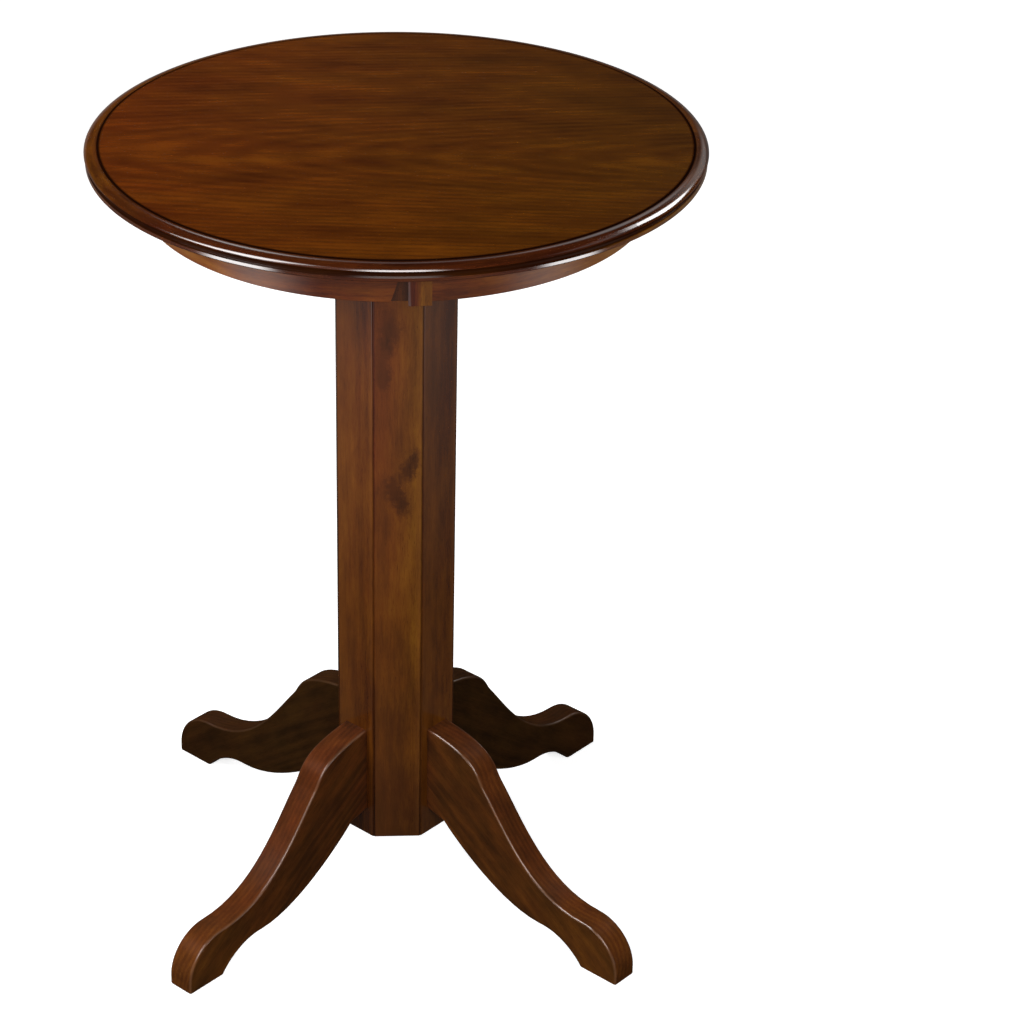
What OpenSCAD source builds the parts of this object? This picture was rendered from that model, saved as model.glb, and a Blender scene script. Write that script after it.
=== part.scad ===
// Round bar-height pub table on an octagonal pedestal with four curved legs.
// All sizes are in millimetres. +Z is up, the origin is on the floor under the
// middle of the top, and the open joint in the apron faces -Y, the front.

/* [Table] */
// Height of the table top above the floor
table_h = 1066.8; // [900:0.1:1120]
// Diameter of the top over its moulded edge
top_d = 762; // [660:0.1:914]

/* [Top] */
// Thickness of the top
top_t = 20; // [19:0.1:32]
// Thickness of the veneer on each face
veneer_t = 0.8; // [0.5:0.1:1.5]
// Width of the solid wood moulding round the core
edge_w = 18.5; // [17:0.1:26]
// Thickness of the moulding's tongue
tongue_t = 6; // [4:0.1:8]
// Length of the moulding's tongue
tongue_l = 8; // [5:0.1:12]

/* [Edge moulding] */
// Width of the small groove between the veneer and the moulding
quirk_w = 2.2; // [1.5:0.1:2.8]
// Depth of that groove
quirk_d = 1.3; // [1:0.1:2]
// Drop from the veneer to the crest of the flattened thumb
thumb_drop = 0.7; // [0.2:0.1:1]
// Height of the thumb from its foot to its crest
thumb_h = 7.6; // [6:0.1:8.6]
// Height of the slanted undercut below the thumb's foot
undercut_h = 3; // [1:0.1:4]
// Depth of the valley between the thumb and the lower bead
valley_d = 4; // [2:0.1:6]
// Radius of the lower bead
bead_r = 3.4; // [3:0.1:3.8]
// Distance that the lower bead stands back from the thumb's foot
bead_back = 1.8; // [0.5:0.1:3]

/* [Apron] */
// Height of the apron
apron_h = 55.5; // [44:0.1:70]
// Thickness of the apron
apron_t = 16; // [12:0.1:20]
// Distance from the edge of the top to the outside of the apron
apron_inset = 67.5; // [50:0.1:90]
// Width of the open slot in the front joint, at half its height
slot_w = 11.6; // [8:0.1:20]
// Slant of the apron's end beside the slot, in degrees
slot_slant = 18; // [0:0.5:20]
// Distance from the middle of the front to the right side of the slot
slot_offset = 2.5; // [0:0.1:8]
// Depth of the slot, from the apron's face to the splice block's rib
slot_recess = 4; // [2:0.1:10]
// Width of the key block that closes the front joint
key_w = 27.2; // [20:0.1:34]
// Depth of the key block, front to back
key_depth = 30; // [20:0.1:36]
// Distance that the key block hangs below the apron
key_drop = 5.5; // [0:0.1:7]
// Length of the splice block behind the rear joint
splice_l = 80; // [60:1:110]
// Length that the front splice block laps behind the apron's left half
splice_lap = 40; // [30:1:50]
// Thickness of the splice blocks
splice_t = 16; // [12:0.1:20]
// Height of the rear splice block
splice_h = 38; // [30:0.1:40]

/* [Glue blocks] */
// Number of glue blocks inside the apron
block_count = 8; // [4:4:12]
// Length of a glue block along the apron
block_l = 50; // [40:1:60]
// Thickness of a glue block
block_t = 20; // [18:0.1:25]
// Height of a glue block
block_h = 36; // [30:0.1:40]
// Distance of a block's two screws from the block's middle
block_screw_gap = 13; // [8:0.1:16]

/* [Column] */
// Width of the octagonal column across its flats
column_w = 152.4; // [140:0.1:180]
// Height of the column's lower end above the floor
column_z = 85; // [70:1:95]
// Thickness of the staves
stave_t = 22; // [18:0.1:24]
// Flat planed on each outer corner of a stave
stave_ease = 1.2; // [0.6:0.1:2]
// Height of the solid block inside the column's upper end
top_block_h = 75; // [65:1:120]
// Height of the ring inside the column's lower end
ring_h = 176; // [170:1:220]
// Distance that the ring is set up inside the lower end
ring_inset = 6; // [0:0.5:12]
// Wall of the ring
ring_wall = 15; // [12:0.1:18]

/* [Mounting plate] */
// Width of the square plate between the column and the top
plate_w = 300; // [260:1:340]
// Thickness of the plate
plate_t = 18; // [15:0.1:22]
// Length cut off each corner of the plate, along its sides
plate_clip = 40; // [20:1:50]
// Distance of the outer row of plate screws from the plate's edge
plate_screw_edge = 30; // [20:1:40]
// Distance of the screws in a row from the plate's middle line
plate_screw_side = 75; // [50:1:85]

/* [Legs] */
// Thickness of the leg planks
leg_t = 38.1; // [32:0.1:45]
// Distance from the middle of the table to the tip of a foot
leg_reach = 410; // [380:1:440]
// Height of the upper edge of a leg at the column
leg_top = 250; // [240:1:260]
// Height of the leg's joint on the column
root_h = 126; // [116:1:136]
// Distance of the knee from the column's face
knee_out = 100; // [90:1:110]
// Drop from the upper edge at the column to the knee
knee_drop = 52; // [44:1:60]
// Slope of the shin just below the knee, in degrees
shin_slope = 50; // [45:1:55]
// Radius of the rounded toe
toe_r = 60; // [50:1:64]
// Height of the upright face under the rounded toe
toe_upright = 12; // [8:1:20]
// Length of the sole of a foot
sole_l = 61; // [50:1:75]
// Distance from the heel to the top of the arch
heel_run = 66; // [55:1:75]
// Height of the arch above the floor
arch_h = 33; // [28:1:36]
// Length of the straight top of the arch
arch_flat = 8; // [4:1:20]
// Distance of the leg's lower lip from the column's face
lip_out = 30; // [20:1:40]
// Drop from the joint's lower end to the lip
lip_drop = 7.5; // [4:0.5:12]

/* [Fixings] */
// Diameter of the hanger bolts in the legs
bolt_d = 7.94; // [6:0.01:9.5]
// Depth of a hanger bolt in the leg
bolt_depth = 50; // [40:1:55]
// Distance of a leg's bolts from the ends of its joint
bolt_edge = 35; // [28:1:45]
// Length of bolt that stands past the nut
bolt_past = 3; // [1:0.5:4]
// Diameter of the washers
washer_d = 20; // [16:0.1:22]
// Thickness of the washers
washer_t = 1.6; // [1:0.1:2]
// Width of the nuts and lag screw heads across their flats
nut_w = 12.7; // [12:0.1:14]
// Thickness of the nuts
nut_t = 6.75; // [5:0.05:8]
// Diameter of the lag screws that hold the plate on the column
lag_d = 7.94; // [6:0.01:9.5]
// Length of the lag screws under their heads
lag_l = 63.5; // [50:0.5:70]
// Height of the lag screws' heads
lag_head_h = 5; // [4:0.1:6]
// Distance of the lag screws from the middle lines of the table
lag_out = 27; // [22:0.5:30]
// Diameter of the wood screws
screw_d = 4.8; // [4:0.1:5.5]
// Diameter of the wood screws' heads
screw_head_d = 9; // [8:0.1:10]
// Length of the plate's wood screws
plate_screw_l = 32; // [28:0.5:35]
// Depth of a glue block's screws in the top and in the apron
block_screw_bite = 10; // [6:0.5:11]
// Width of the points of the screws and bolts
point_d = 1; // [0.5:0.1:2]
// Clearance across a lag screw's head in its counterbore
head_room = 1; // [0.5:0.1:2]
// Clearance round fixings and loose-fitting pieces
fit = 0.15; // [0.05:0.05:0.3]

/* [Hidden] */
$fn = 64;
SIDES = ["right", "rear", "left", "front"];
CORNERS = ["right_rear", "left_rear", "left_front", "right_front"];
top_r = top_d / 2;
core_r = top_r - edge_w;
under_z = table_h - top_t;
core_z = under_z + veneer_t;
core_t = top_t - 2 * veneer_t;
tongue_z = under_z + (top_t - tongue_t) / 2;
apron_r = top_r - apron_inset;
apron_in_r = apron_r - apron_t;
apron_z = under_z - apron_h;
column_top = under_z - plate_t;
bore_w = column_w - 2 * stave_t;
ring_hole_w = bore_w - 2 * ring_wall;
ring_z = column_z + ring_inset;
leg_foot_z = leg_top - root_h;
bolt_heights = [leg_foot_z + bolt_edge, leg_top - bolt_edge];
curve_steps = 14;
thumb_steps = 12;
cut = 1;    // how far a cutting shape runs past what it cuts
key_right = slot_offset + key_w;

// A regular octagon by its width across the flats
module octagon(w) {
    circle(d = w / cos(22.5), $fn = 8);
}

module octagon_prism(w, h) {
    rotate([0, 0, 22.5]) linear_extrude(h) octagon(w);
}

// A cubic curve from a to d, pulled towards b and c, without its last point
function curve(a, b, c, d) = [
    for (i = [0:curve_steps - 1])
        let (t = i / curve_steps, u = 1 - t)
            u * u * u * a + 3 * u * u * t * b + 3 * u * t * t * c + t * t * t * d
];

// A countersunk wood screw, its head's face on the origin, driven along +Z.
// The same shape, grown a little, is the hole it sits in.
module wood_screw(l, grow = 0) {
    head_h = (screw_head_d - screw_d) / 2;
    tip_h = screw_d;
    cylinder(h = head_h, d1 = screw_head_d + 2 * grow, d2 = screw_d + 2 * grow);
    cylinder(h = l - tip_h, d = screw_d + 2 * grow);
    translate([0, 0, l - tip_h])
        cylinder(h = tip_h + grow, d1 = screw_d + 2 * grow, d2 = point_d + 2 * grow);
}

// Screws through the plate into the top, two rows crossing two rows
module at_plate_screws() {
    far = plate_w / 2 - plate_screw_edge;
    for (q = [0:3], s = [-1, 1])
        rotate([0, 0, q * 90]) translate([far, s * plate_screw_side, column_top]) children();
}

module at_lag_screws() {
    for (x = [-1, 1], y = [-1, 1]) translate([x * lag_out, y * lag_out, under_z]) children();
}

// The glue blocks stand evenly round the inside of the apron
module at_block(i) {
    rotate([0, 0, 360 / block_count * (i - 0.5)]) children();
}

// One screw goes up into the top and one outwards into the apron
module block_screw_pair(grow = 0) {
    translate([apron_in_r - block_t / 2, block_screw_gap, under_z - block_h])
        wood_screw(block_h + block_screw_bite, grow);
    translate([apron_in_r - block_t, -block_screw_gap, under_z - block_h / 2])
        rotate([0, 90, 0]) wood_screw(block_t + block_screw_bite, grow);
}

// Section of the moulding, x from the middle of the table and y from the floor
module edge_section() {
    thumb_x = core_r + quirk_w;
    thumb_z = table_h - thumb_drop - thumb_h;
    bead_x = top_r - bead_back - bead_r;
    bead_y = under_z + bead_r;
    polygon(concat(
        [[core_r, under_z], [bead_x, under_z], [top_r - valley_d, bead_y]],
        [[top_r - valley_d, thumb_z - undercut_h]],
        [for (i = [0:thumb_steps])
            let (a = 90 * i / thumb_steps)
                [thumb_x + (top_r - thumb_x) * cos(a), thumb_z + thumb_h * sin(a)]],
        [[thumb_x, table_h - quirk_d], [core_r, table_h - quirk_d]]
    ));
    translate([bead_x, bead_y]) circle(r = bead_r);
    translate([core_r - tongue_l, tongue_z]) square([tongue_l + cut, tongue_t]);
}

module edge_segment(i) {
    color("#5b2a10") rotate([0, 0, i * 90 - 45]) rotate_extrude(angle = 90, $fn = 96) edge_section();
}

module top_core() {
    color("#b08a5a") difference() {
        translate([0, 0, core_z]) cylinder(h = core_t, r = core_r, $fn = 96);
        difference() {
            translate([0, 0, tongue_z - fit]) cylinder(h = tongue_t + 2 * fit, r = core_r + cut, $fn = 96);
            translate([0, 0, tongue_z - cut])
                cylinder(h = tongue_t + 2 * cut, r = core_r - tongue_l - fit, $fn = 96);
        }
        at_plate_screws() wood_screw(plate_screw_l, fit);
        for (i = [1:block_count]) at_block(i) block_screw_pair(fit);
    }
}

module top_veneer() {
    color("#6b3a14") translate([0, 0, table_h - veneer_t]) cylinder(h = veneer_t, r = core_r, $fn = 96);
}

module back_veneer() {
    color("#5a3016") difference() {
        translate([0, 0, under_z]) cylinder(h = veneer_t, r = core_r, $fn = 96);
        at_plate_screws() wood_screw(plate_screw_l, fit);
        for (i = [1:block_count]) at_block(i) block_screw_pair(fit);
    }
}

module apron_ring() {
    difference() {
        translate([0, 0, apron_z]) cylinder(h = apron_h, r = apron_r, $fn = 96);
        translate([0, 0, apron_z - cut]) cylinder(h = apron_h + 2 * cut, r = apron_in_r, $fn = 96);
        for (i = [1:block_count]) at_block(i) block_screw_pair(fit);
    }
}

// What the saw takes off the apron's left end, with a slanted left side
module slot_cut() {
    translate([slot_offset - slot_w, 0, apron_z + apron_h / 2]) rotate([0, slot_slant, 0])
        translate([0, -top_d, -apron_h]) cube([slot_w + apron_h, top_d, 2 * apron_h]);
}

// The left half ends in the slanted cut beside the open slot
module apron_left() {
    color("#5f2d12") difference() {
        apron_ring();
        translate([0, 0, apron_z - cut]) cube([top_d, top_d, apron_h + 2 * cut]);
        translate([slot_offset, -top_d, apron_z - cut]) cube([top_d, top_d, apron_h + 2 * cut]);
        slot_cut();
    }
}

// The right half starts at the key block
module apron_right() {
    color("#5f2d12") difference() {
        apron_ring();
        translate([-top_d, 0, apron_z - cut]) cube([top_d, top_d, apron_h + 2 * cut]);
        translate([key_right - top_d, -top_d, apron_z - cut]) cube([top_d, top_d, apron_h + 2 * cut]);
    }
}

module apron_key() {
    color("#7a4420") translate([slot_offset, 0, apron_z - key_drop]) intersection() {
        translate([0, -apron_r, 0]) cube([key_w, key_depth, apron_h + key_drop]);
        translate([-slot_offset, 0, -cut])
            cylinder(h = apron_h + key_drop + 2 * cut, r = apron_r, $fn = 96);
    }
}

module apron_splice() {
    color("#8a5a34") intersection() {
        translate([-splice_l / 2, apron_in_r - splice_t, under_z - splice_h])
            cube([splice_l, splice_t + cut, splice_h]);
        translate([0, 0, apron_z]) cylinder(h = apron_h + cut, r = apron_in_r, $fn = 96);
    }
}

// The front splice butts on the key block, and its rib stands in the slot and closes it
module apron_splice_front() {
    color("#2c1a10") intersection() {
        translate([slot_offset - slot_w - splice_lap, -apron_r, apron_z])
            cube([slot_w + splice_lap, apron_t + splice_t, apron_h]);
        union() {
            cylinder(h = under_z + cut, r = apron_in_r, $fn = 96);
            intersection() {
                slot_cut();
                cylinder(h = under_z + cut, r = apron_r - slot_recess, $fn = 96);
            }
        }
    }
}

module glue_block(i) {
    color("#a8794a") at_block(i) difference() {
        intersection() {
            translate([apron_in_r - block_t, -block_l / 2, under_z - block_h])
                cube([block_t + cut, block_l, block_h]);
            translate([0, 0, apron_z]) cylinder(h = apron_h + cut, r = apron_in_r, $fn = 96);
        }
        block_screw_pair(fit);
    }
}

module block_screws() {
    color("#b9b4a4") for (i = [1:block_count]) at_block(i) block_screw_pair();
}

module plate_outline() {
    h = plate_w / 2;
    c = plate_clip;
    polygon([
        [h, h - c], [h - c, h], [c - h, h], [-h, h - c],
        [-h, c - h], [c - h, -h], [h - c, -h], [h, c - h]
    ]);
}

module mounting_plate() {
    color("#7b4a26") difference() {
        translate([0, 0, column_top]) linear_extrude(plate_t) plate_outline();
        at_plate_screws() wood_screw(plate_screw_l, fit);
        at_lag_screws() lag_hole();
    }
}

// The lag screw's head lies in a counterbore in the top of the plate
module lag_hole() {
    head_well_d = nut_w / cos(30) + head_room;
    translate([0, 0, -lag_head_h - fit]) cylinder(h = lag_head_h + cut, d = head_well_d);
    translate([0, 0, -lag_head_h - lag_l - fit]) cylinder(h = lag_l + cut, d = lag_d + 2 * fit);
}

module lag_screws() {
    color("#b9b4a4") at_lag_screws() {
        translate([0, 0, -lag_head_h]) cylinder(h = lag_head_h - fit, d = nut_w / cos(30), $fn = 6);
        translate([0, 0, -lag_head_h - lag_l + lag_d]) cylinder(h = lag_l - lag_d, d = lag_d);
        translate([0, 0, -lag_head_h - lag_l]) cylinder(h = lag_d, d1 = point_d, d2 = lag_d);
    }
}

module plate_screws() {
    color("#b9b4a4") at_plate_screws() wood_screw(plate_screw_l);
}

module column_top_block() {
    color("#8a5a34") difference() {
        translate([0, 0, column_top - top_block_h]) octagon_prism(bore_w - 2 * fit, top_block_h);
        at_lag_screws() lag_hole();
    }
}

// One stave, its outer face towards +X, bevelled to meet its neighbours
module stave(angle) {
    out = column_w / 2;
    half = out * tan(22.5);
    in_half = bore_w / 2 * tan(22.5);
    e = stave_ease;
    color("#6a3516") difference() {
        rotate([0, 0, angle]) translate([0, 0, column_z]) linear_extrude(column_top - column_z) polygon([
            [bore_w / 2, -in_half], [out - e * cos(22.5), -half + e * sin(22.5)], [out, -half + e],
            [out, half - e], [out - e * cos(22.5), half - e * sin(22.5)], [bore_w / 2, in_half]
        ]);
        leg_bolt_holes();
    }
}

module base_ring() {
    color("#8a5a34") difference() {
        translate([0, 0, ring_z]) octagon_prism(bore_w - 2 * fit, ring_h);
        translate([0, 0, ring_z - cut]) octagon_prism(ring_hole_w, ring_h + 2 * cut);
        leg_bolt_holes();
    }
}

// Side of a leg, x from the middle of the table and y from the floor.
// A pull is how far a curve's handle stands from that end of the curve.
function leg_outline() =
    let (
        root_x = column_w / 2,
        root = [root_x, leg_top],
        knee = [root_x + knee_out, leg_top - knee_drop],
        shin = [cos(shin_slope), -sin(shin_slope)],
        instep = [leg_reach - toe_r, toe_r + toe_upright],
        heel = [leg_reach - sole_l, 0],
        arch = [heel[0] - heel_run, arch_h],
        arch_in = arch - [arch_flat, 0],
        lip = [root_x + lip_out, leg_foot_z - lip_drop],
        step = instep - knee,
        brow_pull = [0.9 * knee_out, -0.17 * knee_drop],
        knee_pull = -0.4 * knee_drop * shin,
        shin_pull = 0.27 * norm(step) * shin,
        instep_pull = [-0.53 * step[0], 0],
        heel_pull = heel_run * [-0.015, 0.045],
        undercut_pull = [0.59 * heel_run, 0],
        arch_pull = [-0.43 * (arch[0] - lip[0]), 0],
        lip_pull = lip_out * [0.067, -0.133]
    )
    concat(
        curve(root, root + brow_pull, knee + knee_pull, knee),
        curve(knee, knee + shin_pull, instep + instep_pull, instep),
        [for (i = [0:curve_steps])
            instep + toe_r * [sin(90 * i / curve_steps), cos(90 * i / curve_steps) - 1]],
        [[leg_reach, 0]],
        curve(heel, heel + heel_pull, arch + undercut_pull, arch),
        curve(arch_in, arch_in + arch_pull, lip + lip_pull, lip),
        [lip, [root_x, leg_foot_z]]
    );

module leg(angle) {
    color("#4a1f0e") difference() {
        rotate([0, 0, angle]) translate([0, leg_t / 2, 0]) rotate([90, 0, 0])
            linear_extrude(leg_t) polygon(leg_outline());
        leg_bolt_holes();
    }
}

// Hanger bolts run outwards along +Z of their own frame, from the ring's hole into the leg
module at_leg_bolts() {
    for (c = [0:3], z = bolt_heights)
        rotate([0, 0, 45 + 90 * c]) translate([ring_hole_w / 2, 0, z]) rotate([0, 90, 0]) children();
}

module hanger_bolt(grow = 0) {
    tail = washer_t + nut_t + bolt_past;
    reach = column_w / 2 + bolt_depth - ring_hole_w / 2;
    tip_h = bolt_d;
    translate([0, 0, -tail]) cylinder(h = tail + reach - tip_h, d = bolt_d + 2 * grow);
    translate([0, 0, reach - tip_h])
        cylinder(h = tip_h + grow, d1 = bolt_d + 2 * grow, d2 = point_d + 2 * grow);
}

module leg_bolt_holes() {
    at_leg_bolts() hanger_bolt(fit);
}

module leg_bolts() {
    color("#b9b4a4") at_leg_bolts() hanger_bolt();
}

module leg_washers() {
    color("#c8c3b2") at_leg_bolts() translate([0, 0, -washer_t]) difference() {
        cylinder(h = washer_t, d = washer_d);
        translate([0, 0, -cut]) cylinder(h = washer_t + 2 * cut, d = bolt_d + 2 * fit);
    }
}

module leg_nuts() {
    color("#b9b4a4") at_leg_bolts() translate([0, 0, -washer_t - nut_t]) difference() {
        cylinder(h = nut_t, d = nut_w / cos(30), $fn = 6);
        translate([0, 0, -cut]) cylinder(h = nut_t + 2 * cut, d = bolt_d + 2 * fit);
    }
}

top_core();
top_veneer();
back_veneer();
for (i = [0:3]) edge_segment(i);
apron_left();
apron_right();
apron_key();
apron_splice();
apron_splice_front();
for (i = [1:block_count]) glue_block(i);
block_screws();
mounting_plate();
plate_screws();
lag_screws();
column_top_block();
for (i = [0:3]) stave(90 * i);
for (i = [0:3]) stave(45 + 90 * i);
base_ring();
for (i = [0:3]) leg(45 + 90 * i);
leg_bolts();
leg_washers();
leg_nuts();
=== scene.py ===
import math

import bmesh
import bpy
from mathutils import Matrix, Vector
from mathutils.geometry import interpolate_bezier


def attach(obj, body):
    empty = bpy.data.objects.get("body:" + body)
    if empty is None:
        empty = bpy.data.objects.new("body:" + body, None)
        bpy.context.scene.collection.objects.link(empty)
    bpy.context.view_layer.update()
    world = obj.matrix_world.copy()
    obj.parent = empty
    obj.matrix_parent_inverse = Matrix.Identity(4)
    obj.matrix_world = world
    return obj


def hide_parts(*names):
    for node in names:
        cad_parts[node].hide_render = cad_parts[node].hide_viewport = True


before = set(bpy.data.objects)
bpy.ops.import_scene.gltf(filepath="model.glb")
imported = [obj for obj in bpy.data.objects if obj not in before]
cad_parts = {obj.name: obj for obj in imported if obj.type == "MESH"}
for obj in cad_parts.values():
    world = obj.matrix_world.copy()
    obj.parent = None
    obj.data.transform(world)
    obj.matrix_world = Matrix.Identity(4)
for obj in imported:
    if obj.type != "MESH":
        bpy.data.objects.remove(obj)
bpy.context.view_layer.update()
mm = 0.001
weld = 0.01   # millimetres within which a cut takes a point as lying on it
sides = ["right", "rear", "left", "front"]
corners = ["right_rear", "left_rear", "left_front", "right_front"]
print("frame loaded with", len(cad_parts), "nodes")


# Camera: a short telephoto from well above bar height, about two degrees left of the front
view = {
    "distance": 3516, "height": 2492, "around": -2.15, "turn": -2.18, "pitch": 28.99, "roll": 0.13,
    "lens": 108.54, "sensor": 36, "axisColumn": 397, "imageWidth": 1024,
}


def placeCamera():
    data = bpy.data.cameras.new("camera")
    data.sensor_width = view["sensor"]
    data.lens = view["lens"]
    data.shift_x = (view["imageWidth"] / 2 - view["axisColumn"]) / view["imageWidth"]
    camera = bpy.data.objects.new("camera", data)
    around = Matrix.Rotation(math.radians(view["around"]), 4, "Z")
    stand = around @ Vector((0, -view["distance"], view["height"]))
    turn = Matrix.Rotation(math.radians(view["turn"]), 4, "Z")
    pitch = Matrix.Rotation(math.radians(90 - view["pitch"]), 4, "X")
    roll = Matrix.Rotation(math.radians(view["roll"]), 4, "Z")
    camera.matrix_world = Matrix.Translation(stand * mm) @ turn @ pitch @ roll
    bpy.context.scene.collection.objects.link(camera)
    bpy.context.scene.camera = camera


placeCamera()


def linear(hexColour):
    channels = [int(hexColour[i:i + 2], 16) / 255 for i in (1, 3, 5)]
    return [c / 12.92 if c <= 0.04045 else ((c + 0.055) / 1.055) ** 2.4 for c in channels] + [1.0]


def addNode(tree, kind, inputs, **settings):
    node = tree.nodes.new("ShaderNode" + kind)
    for name, value in settings.items():
        if name == "stops":
            while len(node.color_ramp.elements) < len(value):
                node.color_ramp.elements.new(1.0)
            for element, (position, colour) in zip(node.color_ramp.elements, value):
                element.position = position
                element.color = linear(colour)
        else:
            setattr(node, name, value)
    for name, value in inputs.items():
        if isinstance(value, bpy.types.Node):
            value = value.outputs[0]
        if isinstance(value, bpy.types.NodeSocket):
            tree.links.new(value, node.inputs[name])
        else:
            node.inputs[name].default_value = value
    return node


def newMaterial(name):
    material = bpy.data.materials.new(name)
    material.use_nodes = True
    tree = material.node_tree
    tree.nodes.clear()
    return material, tree


# Wood space: x runs along the grain, y across the board and z into it, in metres from the tree's
# heart. Every board carries it as the attribute "grain", so the figure turns over its edges.
# The attribute "finish" holds the board's tone and warmth, in places painted light and shade, and a third
# value: wear and painted highlight above zero, glaze and painted shade below it.
oneRing = 0.31416   # the scale at which a wave texture draws one ring in each metre
ringTaper = 0.05    # how fast the rings change along the grain, against across it


def knotField(tree, look, grain):
    # 1 at a knot's heart and 0 beyond its ragged, oval reach
    ragged = addNode(tree, "TexNoise", {
        "Vector": grain, "Scale": 1 / (look["knotCell"] * mm), "Detail": 3.0, "Roughness": 0.6})
    torn = look["knotTear"] * mm
    spread = addNode(tree, "VectorMath", {
        0: ragged.outputs["Color"], 1: (2 * torn, 2 * torn, 0), 2: (-torn, -torn, 0)}, operation="MULTIPLY_ADD")
    frayed = addNode(tree, "VectorMath", {0: grain, 1: spread}, operation="ADD")
    knots = None
    for along, across, size in look["knots"]:
        gap = addNode(tree, "VectorMath", {0: frayed, 1: (along, across, 0)}, operation="SUBTRACT")
        oval = addNode(tree, "VectorMath", {
            0: gap, 1: (look["knotOval"] / size, 1 / size, 0)}, operation="MULTIPLY")
        reach = addNode(tree, "VectorMath", {0: oval}, operation="LENGTH").outputs["Value"]
        bulge = addNode(tree, "MapRange", {
            "Value": reach, "From Min": 0.0, "From Max": 1.0, "To Min": 1.0, "To Max": 0.0},
            interpolation_type="SMOOTHERSTEP")
        knots = addNode(tree, "Math", {0: knots, 1: bulge}, operation="ADD") if knots else bulge
    return knots


def growWood(tree, look):
    if "turned" in look:
        turned = [math.radians(angle) for angle in look["turned"]]
        place = addNode(tree, "TexCoord", {}).outputs["Object"]
        grain = addNode(tree, "Mapping", {
            "Vector": place, "Rotation": turned, "Location": look["heart"]}).outputs["Vector"]
    else:
        grain = addNode(tree, "Attribute", {}, attribute_name="grain").outputs["Vector"]
    slow = addNode(tree, "VectorMath", {0: grain, 1: look["swayScale"]}, operation="MULTIPLY")
    swayNoise = addNode(tree, "TexNoise", {"Vector": slow, "Scale": 1.0, "Detail": 2.0, "Roughness": 0.45})
    sway = look["sway"] * mm
    shift = addNode(tree, "VectorMath", {
        0: swayNoise.outputs["Color"], 1: (0, 2 * sway, 2 * sway), 2: (0, -sway, -sway)},
        operation="MULTIPLY_ADD")
    place = addNode(tree, "VectorMath", {0: grain, 1: shift}, operation="ADD")
    knots = knotField(tree, look, grain) if "knots" in look else None
    if knots:
        lift = addNode(tree, "CombineXYZ", {"Z": knots})
        place = addNode(tree, "VectorMath", {
            0: lift, 1: (0, 0, look["knotLift"] * mm), 2: place.outputs[0]}, operation="MULTIPLY_ADD")
    squeezed = addNode(tree, "VectorMath", {0: place, 1: (ringTaper, 1, 1)}, operation="MULTIPLY")
    rings = addNode(tree, "TexWave", {
        "Vector": squeezed, "Scale": oneRing / (look["ring"] * mm), "Distortion": 2.2,
        "Detail": 2.0, "Detail Scale": 0.5, "Detail Roughness": 0.55},
        wave_type="RINGS", rings_direction="X", wave_profile="SIN")
    layers = {}
    for kind in ("blotch", "streak", "fibre"):
        length, width, detail = look[kind]
        stretch = (1 / (length * mm), 1 / (width * mm), 1 / (width * mm))
        cell = addNode(tree, "VectorMath", {0: place, 1: stretch}, operation="MULTIPLY")
        layers[kind] = addNode(tree, "TexNoise", {
            "Vector": cell, "Scale": 1.0, "Detail": detail, "Roughness": 0.6})
    finish = addNode(tree, "Attribute", {}, attribute_name="finish")
    finish = addNode(tree, "SeparateXYZ", {0: finish.outputs["Vector"]})
    tone = addNode(tree, "Math", {0: finish.outputs["X"], 1: 0.5}, operation="ADD")
    if "fade" in look:
        perMetre, start = look["fade"]
        along = addNode(tree, "SeparateXYZ", {0: grain}).outputs["X"]
        along = addNode(tree, "Math", {0: along, 1: -start}, operation="ADD")
        tone = addNode(tree, "Math", {0: along, 1: perMetre, 2: tone}, operation="MULTIPLY_ADD")
    for source, amount in zip([rings, *layers.values()], look["amounts"]):
        centred = addNode(tree, "Math", {0: source.outputs["Fac"], 1: -0.5}, operation="ADD")
        tone = addNode(tree, "Math", {0: centred, 1: amount, 2: tone}, operation="MULTIPLY_ADD")
    if knots:
        core = addNode(tree, "Math", {0: knots, 1: look["knotFall"]}, operation="POWER")
        tone = addNode(tree, "Math", {0: core, 1: -look["knotDark"], 2: tone}, operation="MULTIPLY_ADD")
    return place, tone, finish, layers


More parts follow.
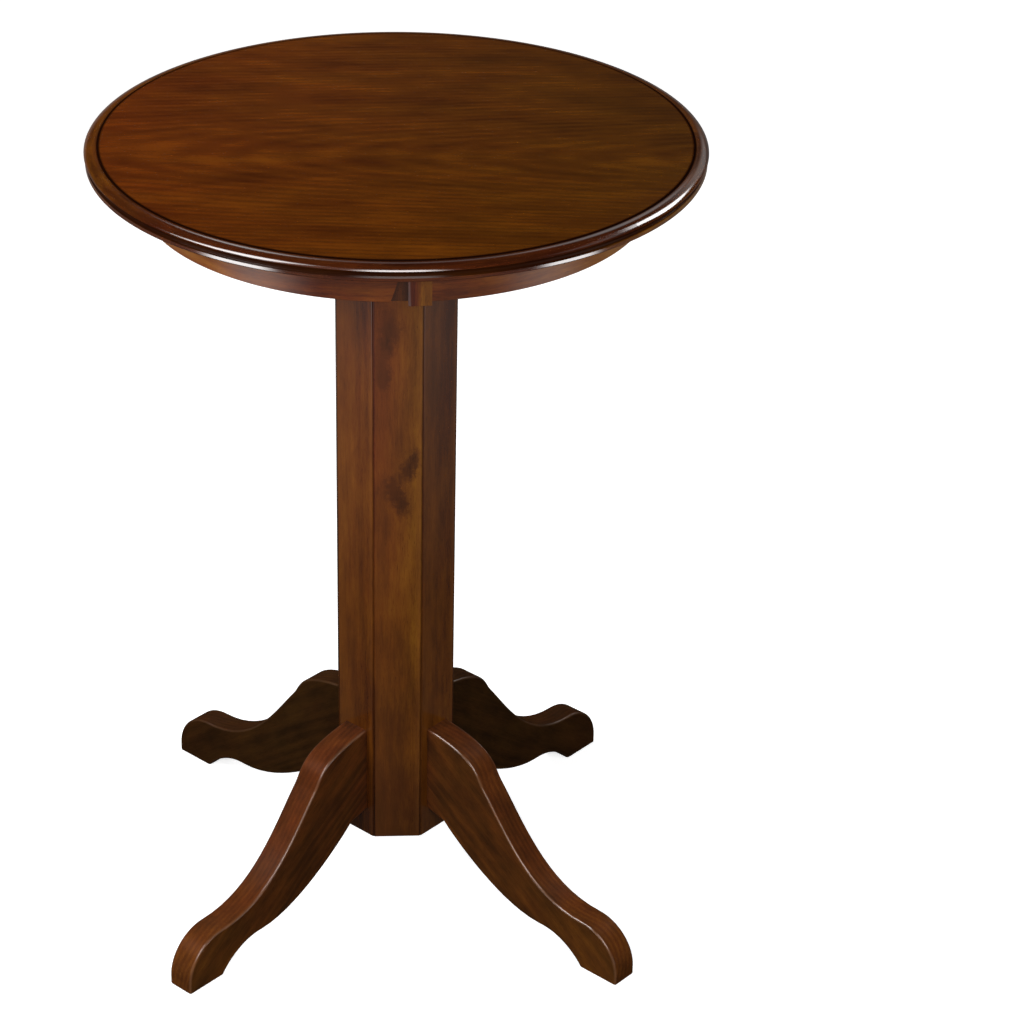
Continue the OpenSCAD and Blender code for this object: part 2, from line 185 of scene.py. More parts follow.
def chestnutLacquer(name, look):
    # hardwood, chestnut spirit stain wiped on, then clear lacquer rubbed to a soft gloss
    material, tree = newMaterial(name)
    place, tone, finish, layers = growWood(tree, look)
    warmth, wearGlazeAndPaintedLight = finish.outputs["Y"], finish.outputs["Z"]
    fibre = layers["fibre"].outputs["Fac"]
    colour = addNode(tree, "ValToRGB", {"Fac": tone}, stops=look["stops"])
    # open pores, drawn twice as wide as real ones so that they show
    poreLength, poreWidth = look["pore"]
    dash = addNode(tree, "VectorMath", {
        0: place, 1: (1 / (poreLength * mm), 1 / (poreWidth * mm), 1 / (poreWidth * mm))}, operation="MULTIPLY")
    poreNoise = addNode(tree, "TexNoise", {"Vector": dash, "Scale": 1.0, "Detail": 1.0, "Roughness": 0.5})
    pores = addNode(tree, "MapRange", {"Value": poreNoise.outputs["Fac"], "From Min": 0.60, "From Max": 0.72})
    poreShade = addNode(tree, "Math", {0: pores, 1: look["poreDark"]}, operation="MULTIPLY")
    colour = addNode(tree, "MixRGB", {
        "Fac": poreShade, "Color1": colour, "Color2": linear(look["poreColour"])})
    # the stain took unevenly, more golden here and redder there
    drift = addNode(tree, "SeparateColor", {0: layers["blotch"].outputs["Color"]}).outputs["Green"]
    drift = addNode(tree, "Math", {0: drift, 1: -0.5}, operation="ADD")
    drift = addNode(tree, "Math", {0: drift, 1: look["drift"], 2: warmth}, operation="MULTIPLY_ADD")
    hue = addNode(tree, "MapRange", {
        "Value": drift, "From Min": -1.0, "From Max": 1.0,
        "To Min": 0.5 - look["hueSwing"], "To Max": 0.5 + look["hueSwing"]})
    colour = addNode(tree, "HueSaturation", {
        "Hue": hue, "Saturation": 1.0, "Value": 1.0, "Fac": 1.0, "Color": colour})
    # the worn colour also paints the highlight lines along rounded edges (painted highlight), and the glaze
    # colour paints shade into grooves (painted shade)
    wearAndShine = addNode(tree, "Math", {0: wearGlazeAndPaintedLight, 1: look["wearAndShine"]}, operation="MULTIPLY", use_clamp=True)
    colour = addNode(tree, "MixRGB", {"Fac": wearAndShine, "Color1": colour, "Color2": linear(look["wornAndShineColour"])})
    glazeAndShade = addNode(tree, "Math", {0: wearGlazeAndPaintedLight, 1: -look["glazeAndShade"]}, operation="MULTIPLY", use_clamp=True)
    colour = addNode(tree, "MixRGB", {"Fac": glazeAndShade, "Color1": colour, "Color2": linear(look["glazeAndShadeColour"])})
    rough = addNode(tree, "MapRange", {
        "Value": fibre, "From Min": 0.3, "From Max": 0.7,
        "To Min": look["rough"] - 0.05, "To Max": look["rough"] + 0.06})
    # the glazed grooves, painted shade too, are dull, and handling has polished the worn edges, which also
    # carry painted highlight lines
    coat = addNode(tree, "MapRange", {
        "Value": wearGlazeAndPaintedLight, "From Min": -1.0, "From Max": 0.0,
        "To Min": look["coat"] * 0.1, "To Max": look["coat"]})
    polishAndShine = addNode(tree, "MapRange", {
        "Value": wearGlazeAndPaintedLight, "From Min": 0.0, "From Max": 1.0,
        "To Min": 0.0, "To Max": look["edgeCoat"] - look["coat"]})
    coat = addNode(tree, "Math", {0: coat, 1: polishAndShine}, operation="ADD")
    coatRough = look["coatRough"]
    if "edgeRough" in look:
        coatRough = addNode(tree, "MapRange", {
            "Value": wearGlazeAndPaintedLight, "From Min": 0.0, "From Max": 0.6,
            "To Min": look["coatRough"], "To Max": look["edgeRough"]})
    # lacquer sinks a little into the pores and follows the fibre
    height = addNode(tree, "Math", {0: pores, 1: -1.0, 2: fibre}, operation="MULTIPLY_ADD")
    bump = addNode(tree, "Bump", {"Height": height, "Strength": look["bump"], "Distance": 0.05 * mm})
    shader = addNode(tree, "BsdfPrincipled", {
        "Base Color": colour, "Roughness": rough, "Normal": bump, "IOR": 1.5, "Specular IOR Level": 0.0,
        "Coat Weight": coat, "Coat Roughness": coatRough, "Coat IOR": 1.6})
    addNode(tree, "OutputMaterial", {"Surface": shader})
    return material


solidLook = {   # lengths and widths in millimetres
    "swayScale": (3.0, 12.0, 12.0), "sway": 6.0, "ring": 7.0,
    "blotch": (75, 22, 3.0), "streak": (120, 4.5, 3.0), "fibre": (22, 1.3, 2.0),
    "amounts": (0.08, 0.62, 0.36, 0.26), "drift": 1.6, "hueSwing": 0.015,
    "stops": [(0.0, "#2a1106"), (0.32, "#48220a"), (0.52, "#62330d"), (0.72, "#794512"), (1.0, "#95601c")],
    "pore": (9, 0.55), "poreDark": 0.45, "poreColour": "#1f0a03",
    "wearAndShine": 0.35, "wornAndShineColour": "#8d5626", "glazeAndShade": 0.85, "glazeAndShadeColour": "#1a0803",
    "rough": 0.42, "bump": 0.25, "coat": 1.0, "coatRough": 0.12, "edgeCoat": 1.0,
}
topLook = {**solidLook,
    "swayScale": (1.6, 5.0, 5.0), "sway": 9.0, "ring": 9.0,
    "blotch": (150, 42, 3.0), "streak": (150, 6.5, 3.0), "fibre": (34, 1.5, 2.0),
    "amounts": (0.10, 0.75, 0.32, 0.14), "drift": 0.9, "fade": (-0.10, 11.25),
    "stops": [(0.0, "#341404"), (0.32, "#482105"), (0.52, "#5b2d07"), (0.72, "#703a09"), (1.0, "#8c4d0d")],
    "poreDark": 0.30, "coat": 0.8, "coatRough": 0.09,
}
columnLook = {**solidLook,
    "streak": (90, 5.0, 3.0), "amounts": (0.06, 0.55, 0.28, 0.22), "drift": 0.8,
    # each knot lies so far along and across its board, in metres, and has that reach
    "knots": [(3.846, -0.014, 0.022), (3.818, -0.018, 0.016), (3.780, -0.022, 0.018), (3.646, 0.008, 0.020),
              (3.618, -0.010, 0.024), (3.596, 0.002, 0.018), (3.664, 0.020, 0.012)],
    "knotCell": 7, "knotTear": 10, "knotLift": 7, "knotDark": 0.26, "knotOval": 0.6, "knotFall": 1.3,
}
legLook = {**solidLook,   # the legs are rubbed down to satin
    "blotch": (60, 26, 3.0), "amounts": (0.08, 0.50, 0.18, 0.18),
    "stops": [(0.0, "#23140b"), (0.32, "#3f2511"), (0.52, "#5b3415"), (0.72, "#77471a"), (1.0, "#946124")],
    "wearAndShine": 0.34, "wornAndShineColour": "#a87c5c", "drift": 1.0,
    "coat": 0.055, "coatRough": 0.36, "edgeCoat": 1.0, "edgeRough": 0.10,
}


def plainWood(name, look):
    # planed stock without stain or lacquer: dull, pale and a little fuzzy
    material, tree = newMaterial(name)
    _, tone, _, layers = growWood(tree, look)
    colour = addNode(tree, "ValToRGB", {"Fac": tone}, stops=look["stops"])
    bump = addNode(tree, "Bump", {
        "Height": layers["fibre"].outputs["Fac"], "Strength": 0.4, "Distance": 0.1 * mm})
    shader = addNode(tree, "BsdfPrincipled", {
        "Base Color": colour, "Roughness": 0.75, "Normal": bump, "IOR": 1.5})
    addNode(tree, "OutputMaterial", {"Surface": shader})
    return material


plainLook = {**solidLook,
    "stops": [(0.0, "#7a5530"), (0.35, "#9a7247"), (0.6, "#b48a5c"), (1.0, "#cda878")],
    "amounts": (0.25, 0.35, 0.40, 0.25),
}

chestnutTop = chestnutLacquer("chestnutVeneer", topLook)
chestnutSolid = chestnutLacquer("chestnutHardwood", solidLook)
chestnutColumn = chestnutLacquer("chestnutStaves", columnLook)
chestnutLegs = chestnutLacquer("chestnutLegs", legLook)
print("wood finishes grown")


sortAlong = Vector((0.7313, 1.3771, 2.1137))   # slanted so that no two points lie level along it


def addPiece(name, bm, material, replaced, grainAt, finishAt):
    bmesh.ops.recalc_face_normals(bm, faces=bm.faces[:])
    # a cut leaves its points in any order, so all are put in a fixed one
    bm.verts.sort(key=lambda vert: vert.co.dot(sortAlong))
    bm.faces.sort(key=lambda face: face.calc_center_median().dot(sortAlong))
    grain = bm.verts.layers.float_vector.new("grain")
    finish = bm.verts.layers.float_vector.new("finish")
    bm.normal_update()
    for vert in bm.verts:
        vert[grain] = grainAt(vert.co)
        vert[finish] = finishAt(vert)
    mesh = bpy.data.meshes.new(name)
    bm.to_mesh(mesh)
    bm.free()
    mesh.polygons.foreach_set("use_smooth", [True] * len(mesh.polygons))
    mesh.set_sharp_from_angle(angle=math.radians(32))
    mesh.materials.append(material)
    piece = bpy.data.objects.new(name, mesh)
    bpy.context.scene.collection.objects.link(piece)
    shading = piece.modifiers.new("flatFacesStayFlat", "WEIGHTED_NORMAL")
    shading.keep_sharp = True
    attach(piece, "root")
    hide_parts(*replaced)


def boardGrain(seed, middle, along, across, heart, lean=(0, 0)):
    # a flat board: heart says how far across and how far behind the board's middle the tree's heart
    # lies, in millimetres, and lean how it slopes along the board
    middle, along, across = Vector(middle) * mm, Vector(along).normalized(), Vector(across).normalized()
    inward = along.cross(across)

    def grainAt(point):
        local = point - middle
        x = local.dot(along)
        y = local.dot(across) - heart[0] * mm + lean[0] * x
        return (x + seed, y, local.dot(inward) + heart[1] * mm + lean[1] * x)
    return grainAt


def bentGrain(seed, radius, middleZ, heart, lean):
    # a bent or curved board: the grain runs round the table's axis
    def grainAt(point):
        angle = math.atan2(point.y, -point.x)
        x = angle * radius * mm
        y = point.z - middleZ * mm - heart[0] * mm + lean * x
        return (x + seed, y, heart[1] * mm + radius * mm - math.hypot(point.x, point.y))
    return grainAt


def roundedFace(bm, outline):
    # outline: x, height and how far from the corner its rounding starts
    verts = [bm.verts.new((x * mm, 0, z * mm)) for x, z, rounding in outline]
    bm.faces.new(verts)
    for vert, (x, z, rounding) in zip(verts, outline):
        if rounding:
            bmesh.ops.bevel(bm, geom=[vert], offset=rounding * mm, affect="VERTICES",
                            segments=max(2, round(rounding * 1.5)), profile=0.5, material=-1)


def turnRound(bm, angle, axis="Z"):
    turn = Matrix.Rotation(math.radians(angle), 3, axis)
    bmesh.ops.rotate(bm, verts=bm.verts[:], cent=(0, 0, 0), matrix=turn)
    return turn


def spinRound(bm, start, end, step):
    turnRound(bm, start)
    bmesh.ops.spin(bm, geom=bm.verts[:] + bm.edges[:] + bm.faces[:], cent=(0, 0, 0), axis=(0, 0, 1),
                   angle=math.radians(end - start), steps=round(abs(end - start) / step),
                   use_merge=False, use_duplicate=False)


def sawOff(bm, point, normal):
    # cuts away what lies on the normal's side and closes the cut
    cut = bmesh.ops.bisect_plane(bm, geom=bm.verts[:] + bm.edges[:] + bm.faces[:], dist=weld * mm,
                                 plane_co=Vector(point) * mm, plane_no=normal, clear_outer=True)
    bmesh.ops.holes_fill(bm, edges=[g for g in cut["geom_cut"] if isinstance(g, bmesh.types.BMEdge)])


def liftOff(bm, faces, offset):
    # extrudes the faces and moves the new end by the offset
    block = bmesh.ops.extrude_face_region(bm, geom=faces)
    bmesh.ops.translate(bm, verts=[g for g in block["geom"] if isinstance(g, bmesh.types.BMVert)],
                        vec=Vector(offset) * mm)


def ramp(value, start, end):
    return min(max((value - start) / (end - start), 0.0), 1.0)


def easeEdges(bm, width, segments, chosen):
    edges = [e for e in bm.edges if chosen(e)]
    bmesh.ops.bevel(bm, geom=edges, offset=width * mm, affect="EDGES", segments=segments,
                    profile=0.5, material=-1)


# Top: a veneered field, flush inside a solid moulding in four bent pieces
top = {
    "height": 1066.8, "under": 1046.8, "radius": 381, "fieldRadius": 362.5, "veneer": 0.8,
    "quirkWidth": 2.2, "quirkDepth": 0.8, "valley": 4.0, "lip": 10.6, "lipRounding": 0.8,
    "thumbDrop": 0.7, "thumbHeight": 7.6, "thumbEnd": 12, "thumbSteps": 16,
    "beadBack": 1.6, "beadHeight": 6.3, "beadFoot": 1.2, "beadWaist": 4.3, "beadLean": 0.85, "beadRound": 1.0,
    "tongue": 6.0, "tongueLength": 8.0,
}
fieldStain = {   # redder to the left and more olive to the right, with dark glaze and painted shade along the rim where it drops into the groove
    "margin": 2.6, "rim": 0.6, "rimGlazeAndShade": -1.2,
    "tone": -0.01, "tonePerMetre": -0.08, "warmth": 0.10, "warmthPerMetre": 1.8,
}
edgeStain = {   # tone and warmth: darker and redder along the front, the bead painted lighter and golden at the right, a painted light, and painted shade in the quirk and the valley
    "plain": (-0.06, 0.2), "front": (-0.24, -0.6), "goldenLight": (0.24, 0.8), "frontFrom": 0.3, "frontTo": 0.8,
    "goldenLightFrom": 190, "goldenLightTo": 270, "quirkGlazeAndShade": -1.2, "valleyShade": -0.1, "litShoulder": (0.3, 0.8),
}


def fieldVeneer():
    bm = bmesh.new()
    low = (top["height"] - top["veneer"]) * mm
    bmesh.ops.create_circle(bm, cap_ends=True, segments=240, radius=top["fieldRadius"] * mm,
                            matrix=Matrix.Translation((0, 0, low)))
    liftOff(bm, bm.faces[:], (0, 0, top["veneer"]))
    surface = top["height"] * mm - 1e-6
    face = [f for f in bm.faces if all(v.co.z > surface for v in f.verts)]
    bmesh.ops.inset_region(bm, faces=face, thickness=fieldStain["margin"] * mm)
    grain = boardGrain(seed=11.3, middle=(0, 0, top["height"]), along=(1, 0, 0), across=(0, 1, 0),
                       heart=(-60, 120), lean=(0.05, -0.12))
    rim = (top["fieldRadius"] - fieldStain["rim"]) * mm

    def finishAt(vert):
        # the rim where the field drops into the quirk is painted dark and dull, partly glaze and partly painted
        # shade
        if math.hypot(vert.co.x, vert.co.y) > rim:
            return (0, 0, fieldStain["rimGlazeAndShade"])
        return (fieldStain["tone"] + fieldStain["tonePerMetre"] * vert.co.y,
                fieldStain["warmth"] + fieldStain["warmthPerMetre"] * vert.co.x, 0)
    addPiece("field_veneer", bm, chestnutTop, ["top_veneer"], grain, finishAt)


def mouldingSection():
    # a wide flattened thumb, undercut at its foot, and a bead that rolls under the top
    high, under, out, inner = top["height"], top["under"], top["radius"], top["fieldRadius"]
    beadOut, beadHigh, waist = out - top["beadBack"], under + top["beadHeight"], under + top["beadWaist"]
    ground = out - top["valley"]
    quirk, quirkLow = inner + top["quirkWidth"], high - top["quirkDepth"]
    crest, foot = high - top["thumbDrop"], high - top["thumbDrop"] - top["thumbHeight"]
    tongueIn, tongueLow = inner - top["tongueLength"], (high + under - top["tongue"]) / 2
    thumb = []
    for step in range(top["thumbSteps"] + 1):
        turn = math.radians(top["thumbEnd"] + (90 - top["thumbEnd"]) * step / top["thumbSteps"])
        thumb.append((quirk + (out - quirk) * math.cos(turn), foot + (crest - foot) * math.sin(turn), 0))
    # from the core round the bead, up the valley, over the thumb and back; steps under 1 ease the bead
    return [
        (inner, under, 0), (beadOut - 0.1, under, top["beadRound"]), (beadOut, under + top["beadFoot"], 0),
        (beadOut - top["beadLean"], waist, 0), (beadOut - top["beadLean"] - 0.1, waist + 0.2, 0),
        (ground + 0.3, beadHigh, 0.2), (ground, beadHigh + 0.2, 0),
        (ground, high - top["lip"], top["lipRounding"]),
        *thumb, (quirk, quirkLow, 0), (inner, quirkLow, 0),
        (inner, tongueLow + top["tongue"], 0), (tongueIn, tongueLow + top["tongue"], 0),
        (tongueIn, tongueLow, 0), (inner, tongueLow, 0),
    ]


def edgeMoulding(number, side):
    bm = bmesh.new()
    roundedFace(bm, mouldingSection())
    start = 90 * number - 45
    spinRound(bm, start, start + 90, 2)
    # these lines stand a little off the section's points, so that each point falls on one side
    quirk = top["fieldRadius"] + top["quirkWidth"] + 0.05
    bead, ground = top["radius"] - top["beadBack"], top["radius"] - top["valley"] + 0.85
    waist = top["under"] + top["beadWaist"] + 0.1
    valleyLow, valleyHigh = top["under"] + top["beadHeight"] - 0.2, top["height"] - top["lip"] + 1

    def finishAt(vert):
        x, y, z = vert.co / mm
        reach = math.hypot(x, y)
        # the quirk groove is painted dark and dull, partly glaze and partly painted shade
        if reach < quirk and z > top["height"] - 2:
            return (0, 0, edgeStain["quirkGlazeAndShade"])
        # the valley between thumb and bead is painted dark and dull, a painted shade
        if reach < ground and valleyLow < z < valleyHigh:
            return (edgeStain["valleyShade"], 0, -1)
        # painted light: the bead is painted lighter and golden towards the right, where light from the right
        # falls on it
        goldenLight = ramp(x, edgeStain["goldenLightFrom"], edgeStain["goldenLightTo"]) if z < valleyLow else 0.0
        # the bead's upper face is painted shade, dark and dull, and painted lighter towards the right, a
        # painted light
        if waist < z < valleyHigh and reach < bead:
            tone, warmth = edgeStain["litShoulder"]
            return (edgeStain["valleyShade"] + tone * goldenLight, warmth * goldenLight, goldenLight - 1)
        front = ramp(-y / reach, edgeStain["frontFrom"], edgeStain["frontTo"])
        tone, warmth = (plain + darker * front + litGold * goldenLight for plain, darker, litGold in
                        zip(edgeStain["plain"], edgeStain["front"], edgeStain["goldenLight"]))
        return (tone, warmth, 0)
    grain = bentGrain(seed=21.0 + number * 3.7, radius=top["radius"], middleZ=1055, heart=(30, 60), lean=0.03)
    addPiece("edge_moulding_" + side, bm, chestnutSolid, ["edge_" + side], grain, finishAt)


fieldVeneer()
for number, side in enumerate(sides):
    edgeMoulding(number, side)
print("top made")


# Apron: two bent halves that meet at the rear, and a key block beside an open slot at the front
apron = {
    "radius": 313.5, "thickness": 16, "height": 55.5, "under": 991.3, "rounding": 1.2,
    "slotSide": -9.1, "slotSlant": 18, "slotRecess": 4,
    "keySide": 2.5, "keyWidth": 27.2, "keyDepth": 30, "keyDrop": 5.5, "keyPlaned": 28, "keyFlat": 4.4,
    "spliceThickness": 16, "spliceLap": 40,
}
apronStain = {   # tone and warmth: painted lighter towards the sides, where light falls on the apron, a painted light, and the block's planed part left dark
    "left": (-0.06, -0.6), "right": (-0.04, -0.3), "sideLight": (0.45, 0.2), "sideLightFrom": 120, "sideLightTo": 250,
    "key": (0.07, 0.5), "keyPlaned": (-0.16, -0.9), "keySplit": 8, "splice": (-0.32, 0),
# the splice's dark tone is partly dark stain and partly painted shade in the recessed slot
}
apronMiddle = apron["under"] + apron["height"] / 2


def bentRail(bm, start, end, depth, drop, rounding):
    inner, low, high = apron["radius"] - depth, apron["under"] - drop, apron["under"] + apron["height"]
    roundedFace(bm, [(inner, low, rounding), (apron["radius"], low, rounding),
                     (apron["radius"], high, 0), (inner, high, 0)])
    spinRound(bm, start, end, 1.5)


def slantedEnd():
    slant = math.radians(apron["slotSlant"])
    return (apron["slotSide"], 0, apronMiddle), Vector((math.cos(slant), 0, -math.sin(slant)))


def apronHalf(side):
    bm = bmesh.new()
    if side == "left":
        bentRail(bm, 90, 276, apron["thickness"], 0, apron["rounding"])
        point, normal = slantedEnd()
    else:
        bentRail(bm, 90, -96, apron["thickness"], 0, apron["rounding"])
        point, normal = (apron["keySide"] + apron["keyWidth"], 0, apronMiddle), Vector((-1, 0, 0))
    # only the front end is cut: the far half is kept whole
    front = [f for f in bm.faces if f.calc_center_median().y < -200 * mm]
    geometry = list(dict.fromkeys(g for f in front for g in (*f.verts, *f.edges, f)))
    bmesh.ops.bisect_plane(bm, geom=geometry, dist=weld * mm, plane_co=Vector(point) * mm, plane_no=normal,
                           clear_outer=True)
    bmesh.ops.holes_fill(bm, edges=[e for e in bm.edges if e.is_boundary])
    seed = {"left": 41.0, "right": 52.4}[side]
    grain = bentGrain(seed, radius=apron["radius"], middleZ=apronMiddle, heart=(25, 90), lean=0.02)

    def finishAt(vert):
        # painted light: lighter and more golden towards the sides of the apron
        sideLight = ramp(abs(vert.co.x) / mm, apronStain["sideLightFrom"], apronStain["sideLightTo"])
        tone, warmth = (plain + lighter * sideLight for plain, lighter in
                        zip(apronStain[side], apronStain["sideLight"]))
        return (tone, warmth, 0)
    addPiece("apron_half_" + side, bm, chestnutSolid, ["apron_" + side], grain, finishAt)


def keyBlock():
    bm = bmesh.new()
    bentRail(bm, 267, 278, apron["keyDepth"], apron["keyDrop"], 1.0)
    sawOff(bm, (apron["keySide"], 0, 0), (-1, 0, 0))
    sawOff(bm, (apron["keySide"] + apron["keyWidth"], 0, 0), (1, 0, 0))
    # the arris beside the slot is planed off at a slant
    planed = math.radians(apron["keyPlaned"])
    sawOff(bm, (apron["keySide"] + apron["keyFlat"], -apron["radius"], 0),
           (-math.sin(planed), -math.cos(planed), 0))
    grain = boardGrain(seed=63.0, middle=(16, -311, 1017), along=(0, 0, 1), across=(1, 0, 0), heart=(-9, 30))
    split = (apron["keySide"] + apronStain["keySplit"]) * mm

    def finishAt(vert):
        return (*apronStain["key" if vert.co.x > split else "keyPlaned"], 0)
    addPiece("key_block", bm, chestnutSolid, ["apron_key"], grain, finishAt)


def frontSplice():
    # laps behind the left half and closes the slot with a rib, all dark: partly dark glaze and partly painted
    # shade in the recessed slot
    low, high = apron["under"], apron["under"] + apron["height"]
    face, inside = apron["radius"] - apron["slotRecess"], apron["radius"] - apron["thickness"]
    bm = bmesh.new()
    roundedFace(bm, [(inside, low, 0), (face, low, 0), (face, high, 0), (inside, high, 0)])
    spinRound(bm, 262, 276, 1)
    sawOff(bm, (apron["keySide"], 0, 0), (1, 0, 0))
    point, normal = slantedEnd()
    sawOff(bm, point, -normal)
    back = inside - apron["spliceThickness"]
    block = bmesh.new()
    roundedFace(block, [(back, low, 1), (inside, low, 1), (inside, high, 0), (back, high, 0)])
    spinRound(block, 258, 276, 1)
    sawOff(block, (apron["keySide"], 0, 0), (1, 0, 0))
    sawOff(block, (apron["slotSide"] - apron["spliceLap"], 0, 0), (-1, 0, 0))
    spare = bpy.data.meshes.new("spare")
    block.to_mesh(spare)
    bm.from_mesh(spare)
    block.free()
    bpy.data.meshes.remove(spare)
    grain = boardGrain(seed=68.0, middle=(-10, -300, 1017), along=(0, 0, 1), across=(1, 0, 0), heart=(-9, 30))
    addPiece("front_splice", bm, chestnutSolid, ["apron_splice_front"], grain,
             lambda vert: (*apronStain["splice"], 0))


for side in ("left", "right"):
    apronHalf(side)
keyBlock()
frontSplice()
print("apron made")


# Column: eight bevelled staves round a hollow
column = {
    "width": 152.4, "low": 85, "high": 1028.8, "stave": 22, "ease": 1.2, "rows": 8,
    "gap": 1.5, "jointGlaze": -0.5,   # dark stain in the joints,
    "band": 2.6, "wornAndShine": 0.5,         # a lighter line beside them, partly wear and partly a painted highlight of the eased edge,
    "glow": 10, "highlightTone": 0.14, "highlightWarmth": 0.5,   # and a golden painted highlight along the front stave's right edge
}
staveBoards = {   # seed, where the heart lies, lean, tone and warmth from foot to head; the tone darkens towards the foot, and at the head of the front staves under the apron, a painted shade
    "front": (3.0, (10, 70), (0.010, 0.02), [(-0.33, 0.2), (-0.07, 0), (-0.06, -1.0), (-0.16, -1.2)]),
    "left_front": (5.6, (-30, 90), (0.006, 0.01), [(-0.24, 0.2), (0.00, 0.1), (0.12, -0.3), (-0.34, -0.5)]),
    "right_front": (7.9, (24, 110), (-0.004, 0.01), [(-0.06, 0.3), (-0.05, 0.2), (-0.13, 0), (-0.26, -0.3)]),
    "left": (9.4, (15, 80), (0.008, 0.0), [(-0.10, 0), (0, 0.2), (0.02, 0), (0, 0)]),
    "right": (12.2, (-12, 85), (-0.006, 0.01), [(-0.12, 0), (-0.05, 0), (0, 0.2), (0, 0)]),
    "left_rear": (14.7, (20, 120), (0.004, 0.01), [(-0.10, 0.1), (-0.03, 0), (0.02, 0.3), (0, 0)]),
    "right_rear": (17.1, (-26, 95), (-0.008, 0.01), [(-0.10, 0.2), (0, 0), (0.03, 0), (0, 0)]),
    "rear": (19.8, (8, 75), (0.010, 0.02), [(-0.12, 0), (0, -0.3), (0.02, 0), (0, 0.3)]),
}


def stave(name, angle):
    out, inner, ease = column["width"] / 2, column["width"] / 2 - column["stave"], column["ease"]
    bevel = math.radians(22.5)   # half the turn from one stave to the next
    half, innerHalf = out * math.tan(bevel), inner * math.tan(bevel)
    cornerOut, cornerHalf = out - ease * math.cos(bevel), half - ease * math.sin(bevel)
    bm = bmesh.new()
    roundedFace(bm, [(inner, -innerHalf, 0), (cornerOut, -cornerHalf, 0), (out, -half + ease, 1.0),
                     (out, half - ease, 1.0), (cornerOut, cornerHalf, 0), (inner, innerHalf, 0)])
    turnRound(bm, 90, "X")
    bmesh.ops.translate(bm, verts=bm.verts[:], vec=(0, 0, column["low"] * mm))
    rise = (column["high"] - column["low"]) / column["rows"]
    for row in range(column["rows"]):
        level = (column["low"] + row * rise - 1) * mm
        tier = [f for f in bm.faces if abs(f.normal.z) > 0.9 and f.calc_center_median().z > level]
        liftOff(bm, tier, (0, 0, rise))
        if row:
            bmesh.ops.delete(bm, geom=tier, context="FACES_ONLY")
    band, gap, glow = half - column["band"], half - column["gap"], half - column["glow"]
    for line in (band, -band, glow, gap, -gap):
        bmesh.ops.bisect_plane(bm, geom=bm.verts[:] + bm.edges[:] + bm.faces[:], dist=weld * mm,
                               plane_co=(0, line * mm, 0), plane_no=(0, 1, 0))
    seed, heart, lean, tonesWithShade = staveBoards[name]
    grain = boardGrain(seed, middle=(out, 0, 0), along=(0, 0, 1), across=(0, 1, 0), heart=heart, lean=lean)
    bmesh.ops.recalc_face_normals(bm, faces=bm.faces[:])
    back = turnRound(bm, angle).inverted()

    def finishAt(vert):
        _, across, height = (back @ vert.co) / mm
        # tone and warmth from foot to head, the tone darker at the foot and under the apron, a painted shade
        level = (height - column["low"]) / (column["high"] - column["low"]) * (len(tonesWithShade) - 1)
        lower = min(int(level), len(tonesWithShade) - 2)
        tone, warmth = (a + (b - a) * (level - lower) for a, b in zip(tonesWithShade[lower], tonesWithShade[lower + 1]))
        # the line beside each joint is painted lighter, partly wear and partly a painted highlight of the eased
        # edge
        wearAndShine = column["wornAndShine"] if band + 0.1 > abs(across) > band - 0.1 else 0.0
        if abs(across) > gap + 0.1:
            wearAndShine = column["jointGlaze"]
        # a painted highlight along the front stave's right edge
        if name == "front" and across > glow - 0.1:
            tone, warmth = tone + column["highlightTone"], column["highlightWarmth"]
        return (tone, warmth, wearAndShine)
    addPiece("column_stave_" + name, bm, chestnutColumn, ["stave_" + name],
             lambda point: grain(back @ point), finishAt)


for number in range(4):
    stave(sides[number], 90 * number)
    stave(corners[number], 90 * number + 45)
print("column made")


# Legs: sawn from planks, their long edges rounded over and the soles left flat
leg = {
    "thickness": 38.1, "rounding": 3.2, "soleRounding": 1.2, "steps": 16,
    "root": (76.2, 250), "knee": (176.2, 198), "instep": (350, 72), "tip": 410, "toeRadius": 60,
    "heel": (349, 0), "arch": (283, 33), "archFlat": 8, "lip": (106.2, 116.5), "rootFoot": 124, "shinSlope": 50,
    # how far each curve is pulled on from its ends, as a share of its span or in millimetres
    "rootPull": (0.9, 0.17), "kneePull": 0.4, "shinPull": 0.27, "instepPull": 0.53, "toePull": 0.5523,
    "heelPull": (-1, 3), "archPull": 0.59, "lipPull": (2, -4), "underPull": 0.43,
}
legStain = {   # the sides are painted a little darker and less red than the upper edge, a painted shade, and the toe is painted lighter and golden where light reaches it, a painted light
    "root": -0.06, "side": (-0.04, 0.5), "goldenLight": (0.16, -0.3), "goldenLightFrom": 240, "paintedShineFrom": 0.15,
}
legBoards = {   # seed, tone, warmth and polish: the rear legs' tone is darker, a painted shade, and polish sets the painted highlight along the edges, the glossier coat there and the toe's painted light
    "right_rear": (61.0, -0.30, 0.1, 0.25), "left_rear": (67.2, -0.27, 0.1, 0.25),
    "left_front": (71.5, -0.07, -0.8, 0.75), "right_front": (76.3, -0.06, -0.6, 0.75),
}


